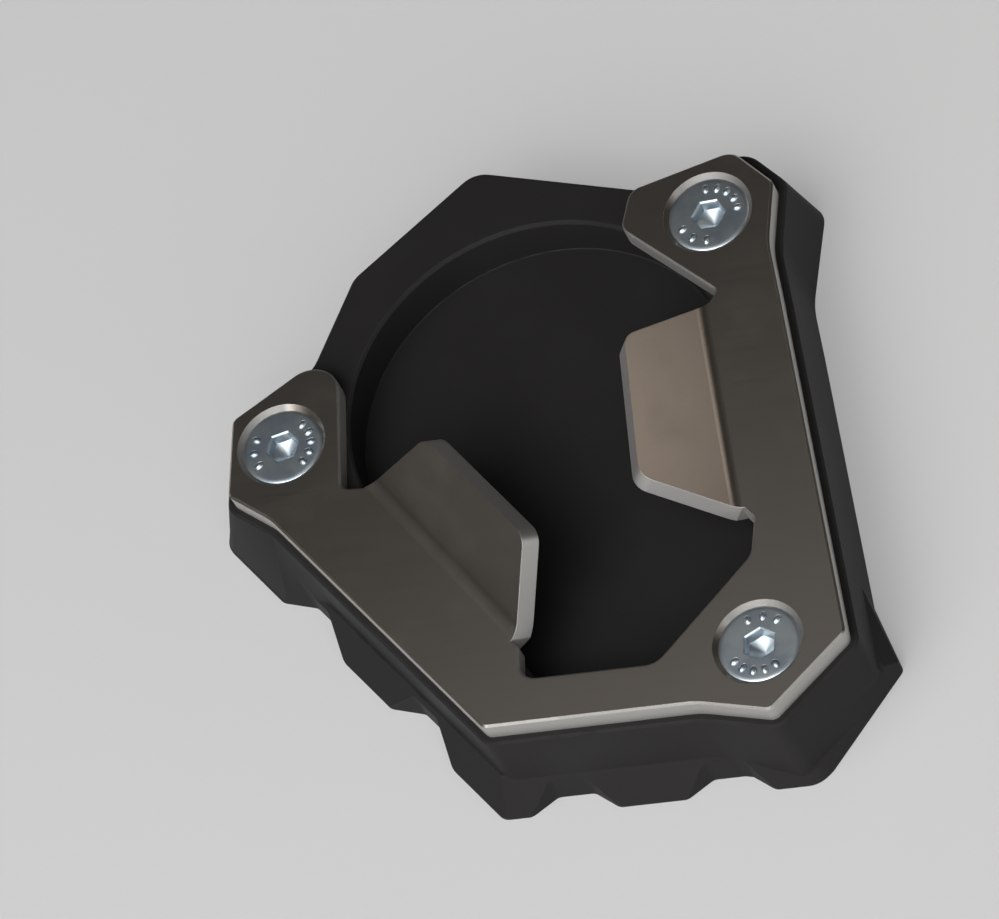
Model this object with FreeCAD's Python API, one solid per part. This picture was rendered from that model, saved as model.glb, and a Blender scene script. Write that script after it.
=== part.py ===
"""Foot enlarger for a motorbike kickstand.

A milled aluminium base with a pocket takes the flat foot of the stand. A
stainless clamp plate with two bent tabs lies on the base and holds the foot
down. Three countersunk M6 screws join the two.

Lengths are in millimetres. +Z is up, +X runs along the straight front edge and
+Y points to the rear. The origin lies on the ground face, below the middle of
the foot. Corner lists give x, y and the rounding radius of each corner.
"""
import FreeCAD
import Part
import math
import os

os.makedirs("parts", exist_ok=True)

Vec = FreeCAD.Vector
UP = Vec(0, 0, 1)

# Heights
base_height = 16.0
plate_thickness = 3.0
pocket_depth = 7.0

# Foot of the stand: a round heel with two straight sides that run to the toe
foot_x = -2.0
foot_y = 11.0
foot_radius = 27.0
left_side_angle = -50.3
right_side_angle = -79.5
toe_front = 36.0
toe_right = 18.0
toe_side = 37.0
toe_round = 4.0

# Screw places
left_screw_x = -37.65
left_screw_y = 6.0
rear_screw_x = 22.65
rear_screw_y = 34.6
right_screw_x = 32.0
right_screw_y = -33.85

# Clamp plate outline
front_left_x = -6.3
front_edge = 42.1
dip_start = 23.5
corner_round = 1.5
lobe_round = 4.3
plate_break = 0.3

# Tabs of the clamp plate
fold_inset = 0.7
left_tab_setback = 13.0
left_tab_root = 34.8
left_tab_length = 11.1
left_tab_angle = 44.0
right_tab_setback = 12.5
right_tab_root = 33.4
right_tab_length = 12.1
right_tab_angle = 31.0
tab_free = 22.9
tab_slant = 1.2
tab_round = 2.6
bend_radius = 3.0

# Base: ledge round the plate and rim round the heel
ledge = 1.05
lobe_extra = 0.8
rim_left = 32.65
rim_back = 33.9
rim_right = 32.05
base_break = 0.25
pocket_break = 0.4

# Skirt at the foot of the base, with its notches
skirt_height = 6.3
skirt_reach = 4.4
skirt_land = 0.5
front_reach = 4.0
side_reach = 4.8
left_reach = 6.5
left_blend = 9.0
lobe_blend = 9.0
lobe_toe = 0.6
tip_round = 3.0
flat_reach = 2.2
skirt_end = 7.0
flat_angle = 56.2
flat_round = 1.0
notch_floor = 1.4
side_notch_floor = 1.95
notch_flat = 5.2
notch_flank = 36.0
side_notch_flank = 32.0
notch_round = 1.6
tooth_round = 2.0
lip_clearance = 0.02
front_notch_first = 7.4
front_notch_pitch = 22.0
side_notch_first = 17.6
side_notch_pitch = 25.1

# Screws: M6 countersunk, 12 mm long
screw_radius = 3.0
screw_length = 12.0
head_radius = 5.85
sink_radius = 6.4
socket_width = 4.0
socket_depth = 2.0
shank_clearance = 0.3
thread_spare = 2.0
point_break = 0.6
drill_half_angle = 59.0

# Cutting shapes: how far they overrun the faces they open and the whole part
overcut = 1.0
clear_of_all = 40.0

# Heights that follow
plate_bottom = base_height
plate_top = base_height + plate_thickness
pocket_floor = base_height - pocket_depth


def direction(angle):
    """Unit vector in the ground plane at an angle in degrees."""
    return Vec(math.cos(math.radians(angle)), math.sin(math.radians(angle)), 0)


def corner(point, radius):
    """A corner of an outline from a point and a radius."""
    return (point.x, point.y, radius)


def crossing(a, along_a, b, along_b):
    """Point where two lines in the ground plane meet."""
    turn = along_a.x * along_b.y - along_a.y * along_b.x
    gap = b - a
    return a + along_a * ((gap.x * along_b.y - gap.y * along_b.x) / turn)


def outline(corners, z):
    """Closed wire through the corners at height z, rounded at each corner."""
    count = len(corners)
    points = [Vec(x, y, z) for x, y, radius in corners]
    starts = []
    middles = []
    ends = []
    for i in range(count):
        point = points[i]
        back = (points[i - 1] - point).normalize()
        ahead = (points[(i + 1) % count] - point).normalize()
        radius = corners[i][2]
        half = back.getAngle(ahead) / 2
        inward = (back + ahead).normalize()
        starts.append(point + back * (radius / math.tan(half)))
        middles.append(point + inward * (radius / math.sin(half) - radius))
        ends.append(point + ahead * (radius / math.tan(half)))
    edges = []
    for i in range(count):
        if corners[i][2] > 0:
            edges.append(Part.Arc(starts[i], middles[i], ends[i]).toShape())
        edges.append(Part.LineSegment(ends[i], starts[(i + 1) % count]).toShape())
    return Part.Wire(edges)


def grown(corners, distance):
    """Corners of the same anticlockwise outline moved outward by a distance."""
    count = len(corners)
    points = [Vec(x, y, 0) for x, y, radius in corners]
    alongs = [(points[(i + 1) % count] - points[i]).normalize() for i in range(count)]
    result = []
    for i in range(count):
        before = alongs[i - 1]
        after = alongs[i]
        out_before = Vec(before.y, -before.x, 0) * distance
        out_after = Vec(after.y, -after.x, 0) * distance
        point = crossing(points[i] + out_before, before, points[i] + out_after, after)
        convex = before.x * after.y - before.y * after.x > 0
        radius = corners[i][2]
        if radius > 0:
            radius = max(radius + (distance if convex else -distance), 0.01)
        result.append(corner(point, radius))
    return result


def prism(corners, low, high):
    """Upright solid on an outline between two heights."""
    return Part.Face(outline(corners, low)).extrude(UP * (high - low))


def flare(low_corners, low, high_corners, high):
    """Solid with straight walls between two outlines of the same corners."""
    wires = [outline(low_corners, low), outline(high_corners, high)]
    return Part.makeLoft(wires, True, True)


# Straight sides of the foot
foot_centre = Vec(foot_x, foot_y, 0)
left_along = direction(left_side_angle)
right_along = direction(right_side_angle)
left_out = Vec(left_along.y, -left_along.x, 0)
right_out = Vec(-right_along.y, right_along.x, 0)
left_tangent = foot_centre + left_out * foot_radius
right_tangent = foot_centre + right_out * foot_radius

# Fold lines of the tabs lie just inside the sides of the pocket
fold_reach = foot_radius - fold_inset
left_fold = foot_centre + left_out * fold_reach + left_along * left_tab_setback
right_fold = foot_centre + right_out * fold_reach + right_along * right_tab_setback
left_fold_rear = left_fold - left_along * (left_tab_root / 2)
left_fold_front = left_fold + left_along * (left_tab_root / 2)
right_fold_rear = right_fold - right_along * (right_tab_root / 2)
right_fold_front = right_fold + right_along * (right_tab_root / 2)

# Pocket for the foot: heel disc and toe
toe_left_corner = crossing(left_tangent, left_along, Vec(0, -toe_front, 0), Vec(1, 0, 0))
toe_right_corner = Vec(toe_right, -toe_front, 0)
toe_side_corner = right_tangent + right_along * toe_side
toe = [
    corner(left_tangent, 0),
    corner(toe_left_corner, toe_round),
    corner(toe_right_corner, toe_round),
    corner(toe_side_corner, toe_round),
    corner(right_tangent, 0),
]
toe_slot = grown(toe, -fold_inset)

# Outer edge of the clamp plate, anticlockwise from the left lobe
left_screw = Vec(left_screw_x, left_screw_y, 0)
rear_screw = Vec(rear_screw_x, rear_screw_y, 0)
right_screw = Vec(right_screw_x, right_screw_y, 0)
front_left = Vec(front_left_x, -front_edge, 0)
side_start = left_screw + Vec(-0.95, -11.7, 0)
left_lobe_corner = left_screw + Vec(-7.45, 4.9, 0)
left_lobe_side = left_screw + Vec(-7.35, -7.2, 0)
left_lobe_end = left_screw + Vec(7.45, 15.1, 0)
right_front_corner = right_screw + Vec(2.0, -10.65, 0)
right_corner = right_screw + Vec(12.1, 0.05, 0)
right_edge_end = rear_screw + Vec(10.7, -14.6, 0)
rear_lobe_turn = rear_screw + Vec(8.9, -6.0, 0)
rear_lobe_side = rear_screw + Vec(9.25, 3.7, 0)
rear_lobe_corner = rear_screw + Vec(3.15, 9.5, 0)
rear_lobe_end = rear_screw + Vec(-11.45, 5.3, 0)
tooth_tip = right_screw + Vec(14.75, 3.75, 0)
right_flat_end = right_screw + Vec(10.4, 13.9, 0)
outer_edge = [
    corner(left_lobe_corner, corner_round),
    corner(left_lobe_side, corner_round),
    corner(side_start, 8.0),
    corner(front_left, corner_round),
    (dip_start, -front_edge, 12.0),
    corner(right_front_corner, corner_round),
    corner(right_corner, corner_round),
    corner(right_edge_end, 12.0),
    corner(rear_lobe_turn, 14.0),
    corner(rear_lobe_side, corner_round),
    corner(rear_lobe_corner, corner_round * 2),
]

# Inner edge of the clamp plate, from the rear lobe round to the left lobe
inner_edge = [
    corner(rear_lobe_end, 2.5),
    corner(rear_screw + Vec(-12.55, -0.9, 0), 2.5),
    corner(right_fold_rear + Vec(1.3, 1.9, 0), 0.8),
    corner(right_fold_rear, 0),
    corner(right_fold_front, 0),
    corner(right_fold_front + Vec(1.6, -1.8, 0), 1.0),
    toe_slot[3],
    toe_slot[2],
    (left_fold_front.x + 1.4, toe_slot[2][1], 2.5),
    corner(left_fold_front + Vec(1.0, -1.0, 0), 0.6),
    corner(left_fold_front, 0),
    corner(left_fold_rear, 0),
    corner(left_screw + Vec(9.05, -8.2, 0), 1.2),
    corner(left_lobe_end, lobe_round),
]

# Outer edge of the base below the ledge: the plate's edge and the heel rim
rim_left_out = direction(159.3)
rim_back_out = direction(131.2)
rim_right_out = direction(75.1)
rim_left_along = Vec(rim_left_out.y, -rim_left_out.x, 0)
rim_back_along = Vec(rim_back_out.y, -rim_back_out.x, 0)
rim_right_along = Vec(rim_right_out.y, -rim_right_out.x, 0)
rim_left_at = foot_centre + rim_left_out * rim_left
rim_back_at = foot_centre + rim_back_out * rim_back
rim_right_at = foot_centre + rim_right_out * rim_right
left_lobe_along = (left_lobe_end - left_lobe_corner).normalize()
rear_lobe_along = (rear_lobe_end - rear_lobe_corner).normalize()
rim_edge = [
    corner(crossing(rear_lobe_corner, rear_lobe_along, rim_right_at, rim_right_along), 7.0),
    corner(crossing(rim_right_at, rim_right_along, rim_back_at, rim_back_along), 3.0),
    corner(crossing(rim_back_at, rim_back_along, rim_left_at, rim_left_along), 3.0),
    corner(crossing(rim_left_at, rim_left_along, left_lobe_corner, left_lobe_along), 7.0),
]
lobe_along = (rear_lobe_corner - rear_lobe_side).normalize()
lobe_out = Vec(lobe_along.y, -lobe_along.x, 0)
lobe_at = rear_lobe_corner + lobe_out * lobe_extra
lobe_rise = (rear_lobe_side - rear_lobe_turn).normalize()
rear_body = [
    corner(crossing(rear_lobe_side, lobe_rise, lobe_at, lobe_along), corner_round),
    corner(crossing(lobe_at, lobe_along, rear_lobe_corner, rear_lobe_along), corner_round * 2),
]
body_edge = outer_edge[:-2] + rear_body + rim_edge


def sink_cone(place, top_radius, depth_at):
    """Cone of 90 degrees that narrows downward to the screw's radius."""
    depth = top_radius - screw_radius
    foot = Vec(place.x, place.y, depth_at - depth)
    return Part.makeCone(screw_radius, top_radius, depth, foot, UP)


def countersink(place):
    """Room for a screw's head, from the top of the clamp plate down."""
    return sink_cone(place, sink_radius, plate_top)


def clearance_hole(place):
    """Room for a screw's shank through the clamp plate."""
    foot = Vec(place.x, place.y, plate_bottom)
    return Part.makeCylinder(screw_radius + shank_clearance, plate_thickness, foot, UP)


def tapped_hole(place):
    """Blind hole in the base with the drill's point at its end."""
    screw_end = plate_top - (sink_radius - head_radius) - screw_length
    floor = screw_end - thread_spare
    foot = Vec(place.x, place.y, floor)
    hole = Part.makeCylinder(screw_radius, base_height - floor, foot, UP)
    point_depth = screw_radius / math.tan(math.radians(drill_half_angle))
    tip = Part.makeCone(0, screw_radius, point_depth, foot - UP * point_depth, UP)
    return hole.fuse(tip)


def notch(start, along, outward, distance, floor, reach, flank):
    """Upright cut through the skirt with a flat floor, sloped flanks and round lips."""
    middle = start + along * distance
    lip = reach + lip_clearance
    half = notch_flat / 2
    mouth = half + (lip - floor) / math.tan(math.radians(flank))
    side = mouth + tooth_round * 2
    corners = [
        corner(middle - along * side + outward * lip, 0),
        corner(middle - along * mouth + outward * lip, tooth_round),
        corner(middle - along * half + outward * floor, notch_round),
        corner(middle + along * half + outward * floor, notch_round),
        corner(middle + along * mouth + outward * lip, tooth_round),
        corner(middle + along * side + outward * lip, 0),
        corner(middle + along * side + outward * reach * 2, 0),
        corner(middle - along * side + outward * reach * 2, 0),
    ]
    return prism(corners, -overcut, base_height + overcut)


def make_skirt():
    """Sloped skirt round the foot of the base, cut into teeth by notches."""
    side_along = (front_left - side_start).normalize()
    side_out = Vec(side_along.y, -side_along.x, 0)
    corner_along = (right_corner - right_front_corner).normalize()
    corner_out = Vec(corner_along.y, -corner_along.x, 0)
    right_edge_along = (right_edge_end - right_corner).normalize()
    right_edge_out = Vec(right_edge_along.y, -right_edge_along.x, 0)
    # Straight lines of the skirt at the ground
    side_line = (front_left + side_out * side_reach, side_along)
    front_line = (front_left + Vec(0, -front_reach, 0), Vec(1, 0, 0))
    corner_line = (right_corner + corner_out * flat_reach, corner_along)
    right_line = (right_corner + right_edge_out * skirt_reach, right_edge_along)
    right_middle = (right_corner + right_edge_end) / 2 + right_edge_out * skirt_reach
    lobe_line = (lobe_at + lobe_out * skirt_reach, lobe_along)
    top_out = Vec(rear_lobe_along.y, -rear_lobe_along.x, 0)
    top_line = (rear_lobe_corner + top_out * ledge, rear_lobe_along)
    top_end = top_line[0] + rear_lobe_along * skirt_end
    left_line = (left_lobe_side - Vec(left_reach, 0, 0), Vec(0, 1, 0))
    left_out_line = Vec(left_lobe_along.y, -left_lobe_along.x, 0) * -1
    heel_line = (left_lobe_corner + left_out_line * ledge, left_lobe_along)
    left_rear = crossing(*left_line, *heel_line)
    left_front = crossing(*left_line, *side_line)
    heel_end = heel_line[0] + left_lobe_along * skirt_end
    ground = [
        corner(left_rear, corner_round),
        corner(left_front, tip_round),
        corner(crossing(*side_line, *front_line), 2.0),
        corner(crossing(*front_line, *corner_line), 4.0),
        corner(crossing(*corner_line, *right_line), 1.0),
        corner(right_middle, 0),
        corner(foot_centre, 0),
        corner(heel_end, 0),
    ]
    upper = grown(ground, ledge - skirt_reach)
    skirt = prism(ground, 0, skirt_land).fuse(flare(ground, skirt_land, upper, skirt_height))
    # The left corner slopes out over its full height
    body = grown(body_edge, ledge)
    side_end = Vec(body[2][0], body[2][1], 0)
    shoulder = base_height - base_break
    blend_end = side_end + side_along * left_blend
    tall_ground = [
        corner(left_rear, corner_round),
        corner(left_front, tip_round),
        corner(crossing(*side_line, side_end, side_out), 0),
        corner(blend_end, 0),
        corner(left_screw, 0),
        corner(heel_end, 0),
    ]
    tall_top = [
        body[0],
        body[1],
        corner(side_end, 0),
        corner(blend_end, 0),
        corner(left_screw, 0),
        corner(heel_end, 0),
    ]
    skirt = skirt.fuse(flare(tall_ground, 0, tall_top, shoulder))
    # Notches along the side and along the front
    for step in (0, 1):
        place = side_notch_first + step * side_notch_pitch
        skirt = skirt.cut(notch(front_left, side_along * -1, side_out, place,
                                side_notch_floor, side_reach, side_notch_flank))
        place = front_notch_first + step * front_notch_pitch
        skirt = skirt.cut(notch(front_left, Vec(1, 0, 0), Vec(0, -1, 0), place,
                                notch_floor, front_reach, notch_flank))
    # The right side stands upright behind its tooth
    right_flat = [
        corner(tooth_tip, 0),
        corner(tooth_tip + Vec(clear_of_all, 0, 0), 0),
        corner(right_edge_end + Vec(clear_of_all, 0, 0), 0),
        corner(right_edge_end, 0),
        corner(right_flat_end, 3.0),
    ]
    skirt = skirt.cut(prism(right_flat, -overcut, base_height))
    # The rear lobe slopes out over its full height as well
    lobe_side = body[-6]
    lobe_corner = body[-5]
    wall_at = Vec(lobe_side[0], lobe_side[1], 0)
    wall_end = wall_at - lobe_rise * lobe_blend
    lobe_ground = [
        corner(wall_end, 0),
        corner(crossing(wall_at + Vec(lobe_toe, 0, 0), lobe_rise, *lobe_line), tip_round),
        corner(crossing(*lobe_line, *top_line), tip_round),
        corner(top_end, 0),
        corner(rear_screw, 0),
    ]
    lobe_top = [
        corner(wall_end, 0),
        lobe_side,
        lobe_corner,
        corner(top_end, 0),
        corner(rear_screw, 0),
    ]
    return skirt.fuse(flare(lobe_ground, 0, lobe_top, shoulder))


def corner_flat():
    """Milled flat across the front right corner, up to the right tooth's tip."""
    run = direction(flat_angle) * clear_of_all
    away = Vec(run.y, -run.x, 0)
    side = (right_flat_end - tooth_tip) / 2
    corners = [
        corner(tooth_tip - run, 0),
        corner(tooth_tip - run + away, 0),
        corner(tooth_tip + side + away, 0),
        corner(tooth_tip + side, 0),
        corner(tooth_tip, flat_round),
    ]
    return prism(corners, -overcut, skirt_height)


def make_base():
    """Milled base with pocket, ledge, skirt, notches and tapped holes."""
    shoulder = base_height - base_break
    lower_edge = grown(body_edge, ledge)
    upper_edge = grown(body_edge, ledge - base_break)
    body = prism(lower_edge, 0, shoulder)
    body = body.fuse(flare(lower_edge, shoulder, upper_edge, base_height))
    base = body.fuse(make_skirt()).removeSplitter().cut(corner_flat())
    # Pocket for the foot, with its edge broken
    heel = Part.makeCylinder(foot_radius, pocket_depth, foot_centre + UP * pocket_floor, UP)
    pocket = heel.fuse(prism(toe, pocket_floor, base_height)).removeSplitter()
    lip = base_height - pocket_break
    heel_lip = Part.makeCone(foot_radius, foot_radius + pocket_break, pocket_break,
                             foot_centre + UP * lip, UP)
    toe_lip = flare(toe, lip, grown(toe, pocket_break), base_height)
    base = base.cut(pocket).cut(heel_lip.fuse(toe_lip).removeSplitter())
    for place in (left_screw, rear_screw, right_screw):
        base = base.cut(tapped_hole(place)).cut(countersink(place))
    return base


def make_tab(fold, along, into, angle, root, length, start_cut, end_cut):
    """Bent tab with a fold line through a point; it rises into the opening.

    The two cuts shorten its flat at the start and at the end of the fold line.
    """
    turn = math.radians(angle)
    outer = bend_radius + plate_thickness
    half_turn = turn / 2

    def at(radius, angle):
        """Point on the bend's section at a radius and an angle."""
        return Vec(0, radius * math.sin(angle), bend_radius - radius * math.cos(angle))

    rise = Vec(0, math.cos(turn), math.sin(turn)) * length
    root_top = Vec(0, -overcut, 0)
    root_low = Vec(0, -overcut, -plate_thickness)
    section = Part.Wire([
        Part.LineSegment(root_low, root_top).toShape(),
        Part.LineSegment(root_top, at(bend_radius, 0)).toShape(),
        Part.Arc(at(bend_radius, 0), at(bend_radius, half_turn), at(bend_radius, turn)).toShape(),
        Part.LineSegment(at(bend_radius, turn), at(bend_radius, turn) + rise).toShape(),
        Part.LineSegment(at(bend_radius, turn) + rise, at(outer, turn) + rise).toShape(),
        Part.LineSegment(at(outer, turn) + rise, at(outer, turn)).toShape(),
        Part.Arc(at(outer, turn), at(outer, half_turn), at(outer, 0)).toShape(),
        Part.LineSegment(at(outer, 0), root_low).toShape(),
    ])
    strip = Part.Face(section).extrude(Vec(root, 0, 0))
    strip.translate(Vec(-root / 2, 0, 0))
    # The flanks run straight from the fold line to the free edge
    bend_run = bend_radius * math.sin(turn)
    blank = [
        (-root / 2, -length * 2, 0),
        (root / 2, -length * 2, 0),
        (root / 2, -bend_run, 0),
        (tab_free / 2, length - end_cut, tab_round),
        (-tab_free / 2, length - start_cut, tab_round),
        (-root / 2, -bend_run, 0),
    ]
    mask = prism(blank, -plate_thickness * 4, plate_thickness * 4)
    mask.rotate(Vec(0, 0, 0), Vec(1, 0, 0), angle)
    mask.translate(at(bend_radius, turn))
    tab = strip.common(mask)
    # Into place: x along the fold, y into the opening
    place = FreeCAD.Matrix(
        along.x, into.x, 0, fold.x,
        along.y, into.y, 0, fold.y,
        0, 0, 1, plate_top,
        0, 0, 0, 1,
    )
    tab.Placement = FreeCAD.Placement(place)
    return tab


def make_plate():
    """Laser-cut clamp plate with two tabs bent up and three countersinks."""
    edge = outer_edge + inner_edge
    shoulder = plate_top - plate_break
    plate = prism(edge, plate_bottom, shoulder)
    plate = plate.fuse(flare(edge, shoulder, grown(edge, -plate_break), plate_top))
    left_tab = make_tab(left_fold, left_along, left_out * -1, left_tab_angle,
                        left_tab_root, left_tab_length, tab_slant / 2, 0)
    right_tab = make_tab(right_fold, right_along * -1, right_out * -1, right_tab_angle,
                         right_tab_root, right_tab_length, 0, tab_slant)
    plate = plate.fuse(left_tab).fuse(right_tab)
    plate = plate.removeSplitter()
    for place in (left_screw, rear_screw, right_screw):
        plate = plate.cut(clearance_hole(place)).cut(countersink(place))
    return plate


def make_screw(place):
    """Countersunk screw with a hexagon socket and a plain shank."""
    head_top = plate_top - (sink_radius - head_radius)
    head = sink_cone(place, head_radius, head_top)
    end = Vec(place.x, place.y, head_top - screw_length)
    shank_length = screw_length - (head_radius - screw_radius)
    shank = Part.makeCylinder(screw_radius, shank_length - point_break, end + UP * point_break, UP)
    tip = Part.makeCone(screw_radius - point_break, screw_radius, point_break, end, UP)
    screw = head.fuse(shank).fuse(tip).removeSplitter()
    reach = socket_width / math.sqrt(3)
    hexagon = [corner(place + direction(60 * i + 30) * reach, 0) for i in range(6)]
    return screw.cut(prism(hexagon, head_top - socket_depth, head_top + overcut))


pieces = {
    "base_plate": make_base(),
    "clamp_plate": make_plate(),
    "screw_left": make_screw(left_screw),
    "screw_rear": make_screw(rear_screw),
    "screw_front_right": make_screw(right_screw),
}
for name, shape in pieces.items():
    solid = shape.Solids[0]
    box = solid.BoundBox
    print(name, len(shape.Solids), solid.isValid(), round(solid.Volume, 1),
          [round(v, 2) for v in (box.XMin, box.XMax, box.YMin, box.YMax, box.ZMin, box.ZMax)])
    shape.exportStep("parts/" + name + ".step")
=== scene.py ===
import bpy
import math
from mathutils import Matrix, Vector


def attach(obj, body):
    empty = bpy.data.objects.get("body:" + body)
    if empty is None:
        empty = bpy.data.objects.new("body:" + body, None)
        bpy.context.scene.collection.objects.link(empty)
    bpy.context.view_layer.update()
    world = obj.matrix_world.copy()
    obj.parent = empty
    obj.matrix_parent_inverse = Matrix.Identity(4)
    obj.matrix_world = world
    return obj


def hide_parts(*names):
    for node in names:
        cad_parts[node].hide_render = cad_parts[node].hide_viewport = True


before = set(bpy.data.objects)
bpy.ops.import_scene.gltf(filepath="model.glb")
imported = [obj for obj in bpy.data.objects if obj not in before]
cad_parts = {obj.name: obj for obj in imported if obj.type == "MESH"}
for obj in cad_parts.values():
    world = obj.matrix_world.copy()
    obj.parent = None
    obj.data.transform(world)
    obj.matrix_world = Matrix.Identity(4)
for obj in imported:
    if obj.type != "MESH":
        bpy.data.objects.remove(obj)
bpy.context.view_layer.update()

# Base plate. A block of aluminium, milled all round and in its pocket, then bead
# blasted and anodised black. The cutter leaves faint level lines on the walls,
# and the dye is a little thinner along the edges.
BASE_BLACK = (0.0165, 0.0156, 0.0154, 1)
BASE_WORN = (0.034, 0.033, 0.033, 1)
BASE_EDGE = 0.00035
BASE_RELIEF = 0.000012


class Wire:
    """One output in a node tree; sums and products of wires add Math nodes."""

    def __init__(self, tree, socket=None):
        self.tree = tree
        self.socket = socket

    def node(self, kind, settings, sockets, out=0):
        """A node of some kind, with its settings made first, then its sockets."""
        made = self.tree.nodes.new(kind)
        for name, value in settings.items():
            setattr(made, name, value)
        for name, value in sockets.items():
            if isinstance(value, Wire):
                self.tree.links.new(value.socket, made.inputs[name])
            else:
                made.inputs[name].default_value = value
        return Wire(self.tree, made.outputs[out])

    def maths(self, operation, *values, clamp=False):
        settings = {"operation": operation, "use_clamp": clamp}
        return self.node("ShaderNodeMath", settings, dict(enumerate(values)))

    def __add__(self, other):
        return self.maths("ADD", self, other)

    def __sub__(self, other):
        return self.maths("SUBTRACT", self, other)

    def __rsub__(self, other):
        return self.maths("SUBTRACT", other, self)

    def __mul__(self, other):
        return self.maths("MULTIPLY", self, other)

    __radd__ = __add__
    __rmul__ = __mul__

    def ramp(self, low, high):
        """0 up to low, 1 from high, and smooth between them."""
        settings = {"interpolation_type": "SMOOTHSTEP"}
        return self.node("ShaderNodeMapRange", settings, {0: self, 1: low, 2: high})

    def blend(self, first, second):
        """A colour between two, by this wire."""
        sockets = {0: self, 6: first, 7: second}
        return self.node("ShaderNodeMix", {"data_type": "RGBA"}, sockets, out=2)

    def stretch(self, scale):
        """This place with its three axes multiplied by a scale."""
        sockets = {0: self, 1: scale}
        return self.node("ShaderNodeVectorMath", {"operation": "MULTIPLY"}, sockets)

    def grain(self, scale, detail=2.0, roughness=0.5):
        """Smooth noise at this place, from 0 to 1."""
        sockets = {"Vector": self, "Scale": scale, "Detail": detail, "Roughness": roughness}
        return self.node("ShaderNodeTexNoise", {}, sockets)

    def edge(self, radius):
        """The face normal, rounded over the piece's edges by a radius."""
        return self.node("ShaderNodeBevel", {"samples": 6}, {"Radius": radius})

    def along(self, direction):
        """How far this vector points along a direction."""
        sockets = {0: self, 1: direction}
        return self.node("ShaderNodeVectorMath", {"operation": "DOT_PRODUCT"}, sockets, out=1)

    def face(self):
        """The normal of the face here."""
        return self.node("ShaderNodeNewGeometry", {}, {}, out=1)

    def wear(self, rounded):
        """How near an edge this place is, from the rounded normal."""
        return (1 - rounded.along(self.face())).ramp(0.004, 0.10)

    def bump(self, height, depth, normal):
        """A normal that follows a height map of a depth in metres."""
        sockets = {"Strength": 1.0, "Distance": depth, "Height": height, "Normal": normal}
        return self.node("ShaderNodeBump", {}, sockets)


def new_material(name):
    """A new material with its shader and the wire of places in the frame."""
    material = bpy.data.materials.new(name)
    material.use_nodes = True
    shader = material.node_tree.nodes["Principled BSDF"]
    place = Wire(material.node_tree).node("ShaderNodeTexCoord", {}, {}, out=3)
    return material, shader, place


def feed(shader, **wires):
    """Links wires to a shader's sockets by their names."""
    for name, wire in wires.items():
        wire.tree.links.new(wire.socket, shader.inputs[name.replace("_", " ")])


def dress(piece, material):
    """The piece gets one material in place of those that it came with."""
    piece.data.materials.clear()
    piece.data.materials.append(material)


anodised, shader, place = new_material("anodised_black")
shader.inputs["Specular IOR Level"].default_value = 0.06
blasted = place.grain(5200, 3.0, 0.6)
cloudy = place.grain(70, 3.0)
cutter_lines = place.stretch((40, 40, 5200)).grain(1.0, 2.0)
edges = place.edge(BASE_EDGE)
worn = place.wear(edges) * place.grain(420, 2.0).ramp(0.30, 0.62)
height = blasted * 0.6 + cutter_lines * 0.4
feed(
    shader,
    Base_Color=(worn * 0.75 + cloudy.ramp(0.45, 0.75) * 0.10).blend(BASE_BLACK, BASE_WORN),
    Roughness=0.46 + cloudy * 0.10 + blasted * 0.06 - worn * 0.05,
    Normal=place.bump(height, BASE_RELIEF, edges),
)
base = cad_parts["base_plate"]
dress(base, anodised)

# Clamp plate. Three millimetre stainless sheet with a satin grind along its
# front edge. It is laser cut, which leaves a fine upright ripple, its edges are
# broken and its countersinks cut, and two tabs are bent up. Its cut faces are
# painted lighter, partly for their cut finish and partly as a painted highlight;
# cut faces tilted a little up, as on the tabs, get a brighter painted highlight,
# and cut faces turned well up, the broken edges, get painted shade.
STEEL = (0.368, 0.331, 0.292, 1)
STEEL_DULL = (0.307, 0.276, 0.242, 1)
# The three cut face colours below hold painted light: a painted highlight over the cut finish, a
# brighter painted highlight, and painted shade.
STEEL_CUT_AND_HIGHLIGHT = (0.470, 0.460, 0.442, 1)
STEEL_FLANK_HIGHLIGHT = (0.560, 0.550, 0.535, 1)
STEEL_BREAK_SHADE = (0.270, 0.263, 0.252, 1)
CLAMP_EDGE = 0.00009
CLAMP_RELIEF = 0.0000045
LEFT_TAB_FACE = (-0.534, -0.444, 0.719)
RIGHT_TAB_FACE = (0.506, 0.094, 0.857)

satin, shader, place = new_material("satin_stainless")
shader.inputs["Metallic"].default_value = 1.0
scratches = place.stretch((90, 5200, 5200)).grain(1.0, 3.0, 0.6)
hairlines = place.stretch((26, 2100, 2100)).grain(1.0, 2.0)
cloudy = place.grain(48, 3.0)
smudge = place.grain(120, 4.0, 0.6).ramp(0.48, 0.72)
face = place.face()
right_side = place.along((1, 0, 0)).ramp(0.004, 0.008)
on_left = face.along(LEFT_TAB_FACE) * (1 - right_side)
on_right = face.along(RIGHT_TAB_FACE) * right_side
on_tab = place.maths("ABSOLUTE", on_left + on_right)
on_flat = place.maths("ABSOLUTE", face.along((0, 0, 1)))
on_sheet = place.maths("MAXIMUM", on_flat, on_tab)
cut_face = 1 - on_sheet.ramp(0.80, 0.91)
# Painted highlight on cut faces tilted a little upward, as on the bent tabs.
flank_highlight = cut_face * on_flat.ramp(0.10, 0.20)
# Painted shade on cut faces turned well upward, the broken edges.
broken_edge_shade = cut_face * on_flat.ramp(0.45, 0.60)
ripple = place.stretch((4200, 4200, 180)).grain(1.0, 2.0)
edges = place.edge(CLAMP_EDGE)
height = scratches * (1 - cut_face) + ripple * cut_face * 2.2
ground = (cloudy * 0.5 + hairlines * 0.35).blend(STEEL, STEEL_DULL)
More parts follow.
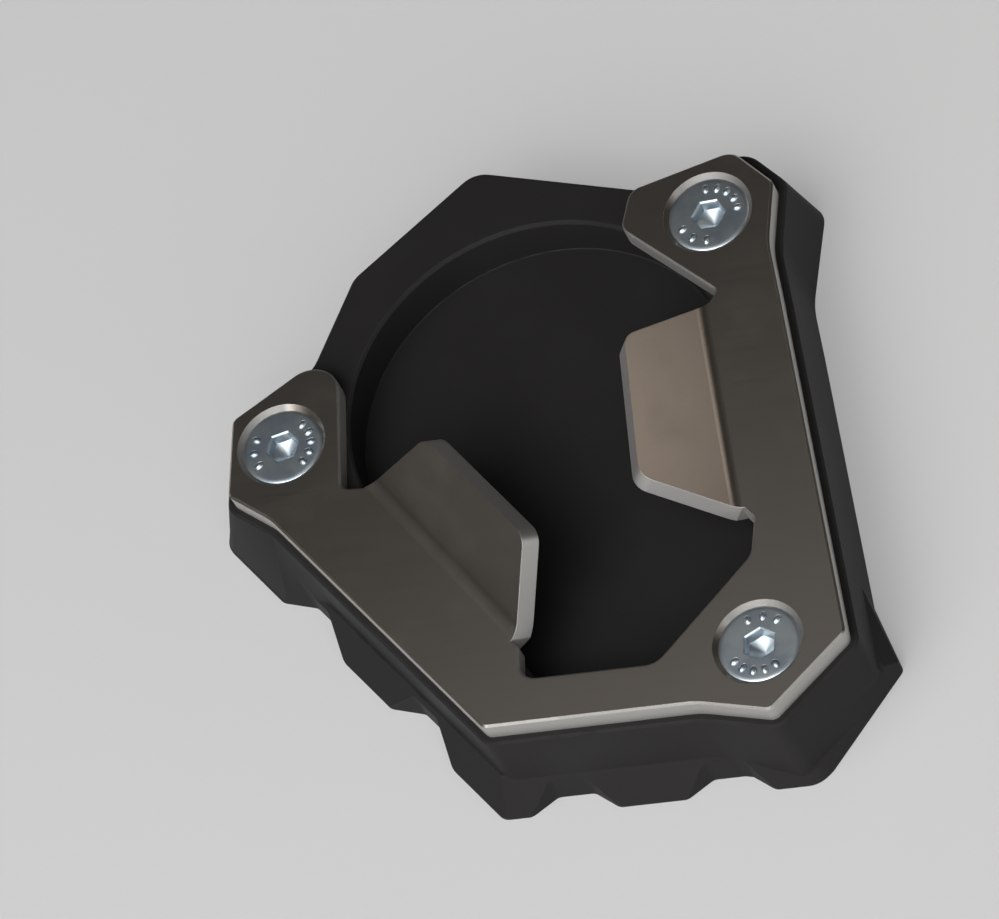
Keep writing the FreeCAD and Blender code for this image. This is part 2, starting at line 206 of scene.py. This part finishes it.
# Cut face colour: partly the cut finish, partly a painted highlight, brighter still on the tilted
# faces.
cut_and_highlight = flank_highlight.blend(STEEL_CUT_AND_HIGHLIGHT, STEEL_FLANK_HIGHLIGHT)
feed(
    shader,
    Base_Color=cut_face.blend(ground, broken_edge_shade.blend(cut_and_highlight, STEEL_BREAK_SHADE)),
    Roughness=0.27 + scratches * 0.08 + smudge * 0.025 + cut_face * 0.30,
    Normal=place.bump(height, CLAMP_RELIEF, edges),
)
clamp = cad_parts["clamp_plate"]
dress(clamp, satin)

# Countersunk screws. M6 steel, cold headed with a hexagon socket and small
# raised marks on the head, thread rolled, then zinc plated to a bluish silver.
# They go down through the clamp plate into the tapped base.


def box_of(piece):
    """The lower and the upper corner of a node's box in the frame."""
    corners = [piece.matrix_world @ Vector(corner) for corner in piece.bound_box]
    low = Vector([min(corner[axis] for corner in corners) for axis in range(3)])
    high = Vector([max(corner[axis] for corner in corners) for axis in range(3)])
    return low, high


SCREW_LOW, SCREW_HIGH = box_of(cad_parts["screw_left"])
HEAD_TOP = SCREW_HIGH.z
HEAD_RADIUS = (SCREW_HIGH.x - SCREW_LOW.x) / 2
SCREW_LENGTH = SCREW_HIGH.z - SCREW_LOW.z
SHANK_RADIUS = 0.0030
RIM_WIDTH = 0.00075
RIM_DROP = 0.00030
RIM_STEPS = 6
SOCKET_HALF = 0.0020
SOCKET_DEPTH = 0.0020
SOCKET_POINT = 0.0009
SOCKET_BREAK = 0.00020
THREAD_PITCH = 0.0010
THREAD_DEPTH = 0.00055
THREAD_STEPS = 110
THREAD_SLOPE = 2.4
STEPS_IN = 6
STEPS_OUT = 5
POINT_STEPS = 7
POINT_TAPER = 0.0005
MARK_RING = 0.00412
MARK_HALF_LENGTH = 0.00072
MARK_HALF_WIDTH = 0.00052
MARK_LEVELS = ((-0.00005, 1.0), (0.00010, 0.88), (0.00023, 0.62), (0.00030, 0.26))
MARK_ANGLES = (55, 85, 115, 215, 237.5, 260, 282.5, 305)
MARK_POINTS = 16
AROUND = 96
SMOOTH_BELOW = 32
SCREW_EDGE = 0.00012
SCREW_RELIEF = 0.000008
ZINC = (0.600, 0.660, 0.690, 1)
ZINC_DULL = (0.360, 0.420, 0.480, 1)

zinc, shader, place = new_material("zinc_plate")
shader.inputs["Metallic"].default_value = 1.0
crystal = place.grain(3200, 3.0, 0.6)
cloudy = place.grain(260, 2.0)
edges = place.edge(SCREW_EDGE)
feed(
    shader,
    Base_Color=cloudy.ramp(0.30, 0.75).blend(ZINC, ZINC_DULL),
    Roughness=0.29 + cloudy * 0.12 + crystal * 0.08,
    Normal=place.bump(crystal, SCREW_RELIEF, edges),
)


def polar(reach, angle, height):
    """The point at a reach and an angle round the upright axis."""
    return reach * math.cos(angle), reach * math.sin(angle), height


def hexagon(angle, half):
    """Radius of a hexagon of that half width at an angle, a corner at 30 degrees."""
    within = (angle + math.pi / 6) % (math.pi / 3) - math.pi / 6
    return half / math.cos(within)


def screw_rings():
    """Rings from the socket's floor over the head to the foot of its cone.

    A ring is its radius, its height and whether it is a hexagon.
    """
    cone_foot = HEAD_TOP - (HEAD_RADIUS - SHANK_RADIUS)
    end = HEAD_TOP - SCREW_LENGTH
    flat = HEAD_RADIUS - RIM_WIDTH
    rings = [
        (0.0002, HEAD_TOP - SOCKET_DEPTH - SOCKET_POINT, False),
        (SOCKET_HALF * 0.93, HEAD_TOP - SOCKET_DEPTH, False),
        (SOCKET_HALF, HEAD_TOP - SOCKET_DEPTH + 0.0001, True),
        (SOCKET_HALF, HEAD_TOP - SOCKET_BREAK * 1.1, True),
        (SOCKET_HALF + SOCKET_BREAK, HEAD_TOP, True),
        ((SOCKET_HALF + flat) / 2, HEAD_TOP, False),
        (flat, HEAD_TOP, False),
    ]
    for step in range(1, RIM_STEPS + 1):
        turn = step / RIM_STEPS * math.pi / 2
        drop = RIM_DROP * (1 - math.cos(turn))
        rings.append((flat + RIM_WIDTH * math.sin(turn), HEAD_TOP - drop, False))
    rings.append((HEAD_RADIUS, HEAD_TOP - RIM_DROP - 0.0001, False))
    rings.append((SHANK_RADIUS, cone_foot, False))
    return rings, cone_foot, end


def add_mark(points, faces, angle):
    """A small domed mark on the head at an angle round the socket."""
    across = Vector((-math.sin(angle), math.cos(angle), 0))
    out = Vector((math.cos(angle), math.sin(angle), 0))
    first = len(points)
    for level, size in MARK_LEVELS:
        for i in range(MARK_POINTS):
            around = 2 * math.pi * i / MARK_POINTS
            spot = out * (MARK_RING + MARK_HALF_LENGTH * size * math.cos(around))
            spot += across * (MARK_HALF_WIDTH * size * math.sin(around))
            points.append((spot.x, spot.y, HEAD_TOP + level))
    for level in range(len(MARK_LEVELS) - 1):
        for i in range(MARK_POINTS):
            a = first + level * MARK_POINTS + i
            b = first + level * MARK_POINTS + (i + 1) % MARK_POINTS
            faces.append((a, b, b + MARK_POINTS, a + MARK_POINTS))
    last = first + (len(MARK_LEVELS) - 1) * MARK_POINTS
    faces.append([last + i for i in range(MARK_POINTS)])


def screw_mesh(name, x, y, turn):
    """A whole screw at its place, turned by an angle in degrees."""
    rings, cone_foot, end = screw_rings()
    turn = math.radians(turn)
    points = []
    for radius, z, is_hexagon in rings:
        for i in range(AROUND):
            angle = 2 * math.pi * i / AROUND
            reach = hexagon(angle, radius) if is_hexagon else radius
            points.append(polar(reach, angle + turn, z))
    for step in range(1, THREAD_STEPS + 1):
        share = step / THREAD_STEPS
        z = cone_foot + (end - cone_foot) * share
        fade = min(1.0, step / STEPS_IN, (THREAD_STEPS - step) / STEPS_OUT)
        taper = POINT_TAPER * max(0.0, 1 - (THREAD_STEPS - step) / POINT_STEPS)
        for i in range(AROUND):
            angle = 2 * math.pi * i / AROUND
            phase = ((z - end) / THREAD_PITCH - i / AROUND) % 1.0
            groove = min(1.0, THREAD_SLOPE * min(phase, 1 - phase)) * THREAD_DEPTH * fade
            reach = SHANK_RADIUS - groove - taper
            points.append(polar(reach, angle + turn, z))
    faces = []
    count = len(rings) + THREAD_STEPS
    for ring in range(count - 1):
        for i in range(AROUND):
            a = ring * AROUND + i
            b = ring * AROUND + (i + 1) % AROUND
            faces.append((a, b, b + AROUND, a + AROUND))
    faces.append(list(range(AROUND - 1, -1, -1)))
    faces.append([(count - 1) * AROUND + i for i in range(AROUND)])
    for angle in MARK_ANGLES:
        add_mark(points, faces, math.radians(angle) + turn)
    mesh = bpy.data.meshes.new(name)
    mesh.from_pydata(points, [], faces)
    mesh.transform(Matrix.Translation((x, y, 0)))
    mesh.polygons.foreach_set("use_smooth", [True] * len(mesh.polygons))
    mesh.set_sharp_from_angle(angle=math.radians(SMOOTH_BELOW))
    return mesh


for node, turn in (("screw_left", 104), ("screw_rear", 153), ("screw_front_right", 0)):
    low, high = box_of(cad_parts[node])
    x, y, _ = (low + high) / 2
    screw = bpy.data.objects.new(node + "_made", screw_mesh(node + "_made", x, y, turn))
    bpy.context.scene.collection.objects.link(screw)
    dress(screw, zinc)
    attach(screw, "root")
    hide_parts(node)

# Floor. A wide, matt, pale table under the part. To the eye and in mirrors half
# of its colour is its own glow, so that the soft shadow on it stays faint.
FLOOR_GREY = (0.58, 0.58, 0.578, 1)
FLOOR_GREY_LOW = (0.57, 0.57, 0.568, 1)
BLACK = (0, 0, 0, 1)
FLOOR_RADIUS = 3.2
FLOOR_SIDES = 48
FLOOR_GLOW = 0.5

table_paint, shader, place = new_material("table_paint")
shader.inputs["Specular IOR Level"].default_value = 0.1
shader.inputs["Emission Strength"].default_value = 1.0
camera_ray = place.node("ShaderNodeLightPath", {}, {}, out=0)
glossy_ray = place.node("ShaderNodeLightPath", {}, {}, out=3)
through_ray = place.node("ShaderNodeLightPath", {}, {}, out=6)
seen = place.maths("ADD", camera_ray + glossy_ray, through_ray, clamp=True)
own_glow = seen * FLOOR_GLOW
paint = place.grain(3.0).blend(FLOOR_GREY, FLOOR_GREY_LOW)
feed(
    shader,
    Base_Color=own_glow.blend(paint, BLACK),
    Emission_Color=own_glow.blend(BLACK, paint),
    Roughness=0.85 + place.grain(9.0) * 0.1,
)
mesh = bpy.data.meshes.new("floor")
rim = []
for i in range(FLOOR_SIDES):
    rim.append(polar(FLOOR_RADIUS, 2 * math.pi * i / FLOOR_SIDES, 0))
mesh.from_pydata(rim, [], [list(range(FLOOR_SIDES))])
floor = bpy.data.objects.new("floor", mesh)
bpy.context.scene.collection.objects.link(floor)
dress(floor, table_paint)

# Studio. Soft boxes stand in front of the table, and a faint one behind it, in a
# room that is dim, so that the steel mirrors something dark. A small panel over
# the part lights the front of the plate, and a warm one behind lights a tab.
ROOM_LOW = (0.080, 0.080, 0.080, 1)
ROOM_HIGH = (0.012, 0.012, 0.012, 1)
BOX_DISTANCE = 1.1
BOX_WIDTH = 0.75

world = bpy.data.worlds.new("room")
bpy.context.scene.world = world
world.use_nodes = True
sky = Wire(world.node_tree)
upward = sky.node("ShaderNodeSeparateXYZ", {}, {0: sky.node("ShaderNodeTexCoord", {}, {})}, out=2)
room = upward.ramp(0.02, 0.15).blend(ROOM_LOW, ROOM_HIGH)
feed(world.node_tree.nodes["Background"], Color=room)


def heading(azimuth, elevation):
    """Direction at some degrees right of the front and above the table."""
    azimuth = math.radians(azimuth)
    elevation = math.radians(elevation)
    return Vector((math.sin(azimuth) * math.cos(elevation),
                   -math.cos(azimuth) * math.cos(elevation),
                   math.sin(elevation)))


def soft_box(name, towards, distance, width, height, glow, colour=(1, 1, 1)):
    """A softbox whose face glows at a brightness, where white paper has 1."""
    towards = Vector(towards).normalized()
    light = bpy.data.lights.new(name, "AREA")
    light.shape = "RECTANGLE"
    light.size = width
    light.size_y = height
    light.energy = math.pi * width * height * glow
    light.color = colour
    lamp = bpy.data.objects.new(name, light)
    lamp.location = towards * distance
    lamp.rotation_euler = (-towards).to_track_quat("-Z", "Y").to_euler()
    bpy.context.scene.collection.objects.link(lamp)


for name, azimuth, elevation, height, glow in (
    ("low_left_box", -35, 12, 0.4, 1.0),
    ("low_front_box", 0, 12, 0.4, 2.6),
    ("low_right_box", 35, 12, 0.4, 2.0),
    ("low_side_box", 70, 12, 0.4, 2.2),
    ("left_box", -50, 38, 0.6, 0.5),
    ("front_left_box", -20, 38, 0.6, 3.2),
    ("front_right_box", 20, 38, 0.6, 2.1),
    ("high_left_box", -38, 62, 0.6, 3.0),
    ("high_front_box", 0, 62, 0.6, 2.7),
):
    soft_box(name, heading(azimuth, elevation), BOX_DISTANCE, BOX_WIDTH, height, glow)
soft_box("rear_box", (0.525, 0.649, 0.549), BOX_DISTANCE, 0.5, 0.4, 0.26, (1.0, 0.94, 0.89))
soft_box("warm_panel", (0.104, 0.108, 0.134), 0.201, 0.040, 0.040, 1.60, (1.0, 0.88, 0.80))
soft_box("top_panel", (-0.07, 0.075, 0.40), 0.41, 0.2, 0.2, 0.42)

# Camera. A long lens from the front right, high above, and rolled.
PLATE_TOP = 0.019
CAMERA_DISTANCE = 1.3
CAMERA_AZIMUTH = 29.56
CAMERA_ELEVATION = 55.0
CAMERA_ROLL = -32.0

sight = heading(CAMERA_AZIMUTH, CAMERA_ELEVATION)
lens = bpy.data.cameras.new("camera")
lens.sensor_width = 36.0
lens.lens = 344.3
lens.shift_x = -0.0405
lens.shift_y = -0.0095
camera = bpy.data.objects.new("camera", lens)
camera.rotation_mode = "QUATERNION"
level = (-sight).to_track_quat("-Z", "Y")
roll = Matrix.Rotation(math.radians(CAMERA_ROLL), 4, "Z")
camera.rotation_quaternion = level @ roll.to_quaternion()
camera.location = Vector((0, 0, PLATE_TOP)) + sight * CAMERA_DISTANCE
bpy.context.scene.collection.objects.link(camera)
bpy.context.scene.camera = camera
bpy.context.scene.view_settings.view_transform = "Standard"
